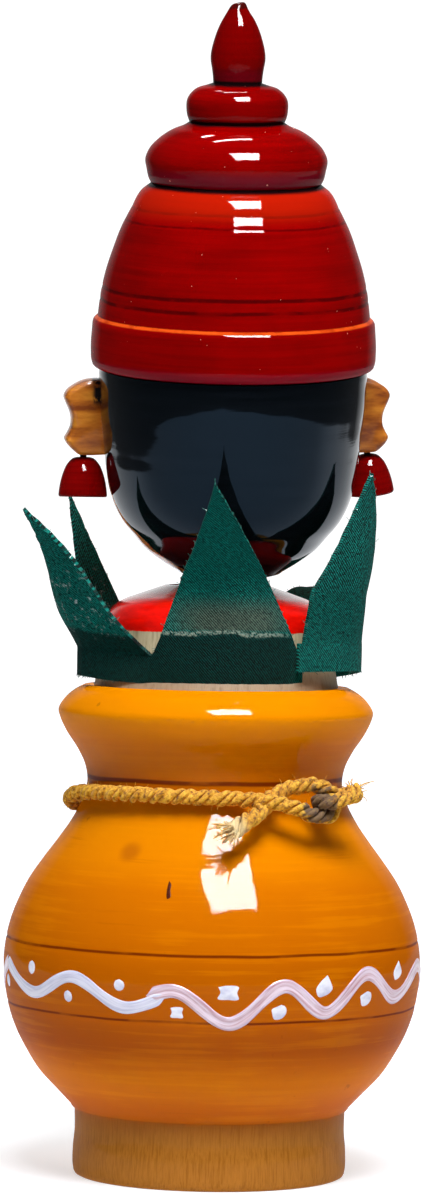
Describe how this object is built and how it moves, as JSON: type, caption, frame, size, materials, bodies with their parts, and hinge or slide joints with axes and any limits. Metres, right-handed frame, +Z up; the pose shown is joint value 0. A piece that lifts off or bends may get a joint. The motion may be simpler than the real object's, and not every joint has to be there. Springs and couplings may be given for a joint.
{
  "type": "wooden pot doll",
  "caption": "Lathe-turned lacquered wooden doll: a crowned head bobbing on a coil spring above a pot-shaped body, with a felt leaf collar, a rope round the neck and swinging bell earrings.",
  "frame": {"origin": "centre of the foot's underside, on the pot's axis", "axes": "+Z up, +Y the way the face looks, so the back of the doll is at -Y"},
  "size_m": [0.064, 0.0651, 0.1788],
  "materials": {
    "orange_lacquer": "glossy turned lacquer, bare wood at the foot, painted white wave",
    "plug_wood": "bare turned wood, red lacquer on the dome",
    "felt": "matt twill felt with frayed cut edges",
    "jute": "twisted, hairy, frayed ends",
    "spring_steel": "dark drawn wire",
    "black_lacquer": "high gloss black lacquer, skin-coloured face",
    "red_lacquer": "high gloss turned lacquer",
    "face_paint": "glossy skin-coloured lacquer",
    "ear_lacquer": "glossy amber lacquer over grain"
  },
  "bodies": {
    "pot_body": {"pot": "orange_lacquer", "shoulder_plug": "plug_wood", "leaf_collar": "felt", "rope_loop": "jute", "rope_knot": "jute", "rope_tail_long": "jute", "rope_tail_short": "jute"},
    "neck": {"neck_spring": "spring_steel"},
    "head_body": {"head": "black_lacquer", "crown": "red_lacquer", "nose": "face_paint", "ear_left": "ear_lacquer", "ear_right": "ear_lacquer", "ear_dowel_left": "plug_wood", "ear_dowel_right": "plug_wood", "earring_pin_left": "spring_steel", "earring_pin_right": "spring_steel"},
    "left_earring": {"earring_left": "red_lacquer"},
    "right_earring": {"earring_right": "red_lacquer"}
  },
  "joints": [
    {"name": "head_nod", "type": "hinge", "parent": "pot_body", "child": "neck", "pos_m": [0.0009, 0, 0.0915], "axis": [1, 0, 0], "range_deg": [-14, 3], "stiffness_Nm_per_rad": 0.15, "deforming": ["neck_spring"]},
    {"name": "head_sway", "type": "hinge", "parent": "neck", "child": "head_body", "pos_m": [0.0009, 0, 0.0915], "axis": [0, 1, 0], "range_deg": [-6, 6], "stiffness_Nm_per_rad": 0.15, "deforming": ["neck_spring"]},
    {"name": "left_earring_swing", "type": "hinge", "parent": "head_body", "child": "left_earring", "pos_m": [-0.02093, -0.00145, 0.10947], "axis": [-0.1736, 0.974, 0.1456], "range_deg": [-1, 14]},
    {"name": "right_earring_swing", "type": "hinge", "parent": "head_body", "child": "right_earring", "pos_m": [0.02279, 0.00617, 0.11061], "axis": [-0.1736, 0.974, 0.1456], "range_deg": [-10, 6]}
  ]
}
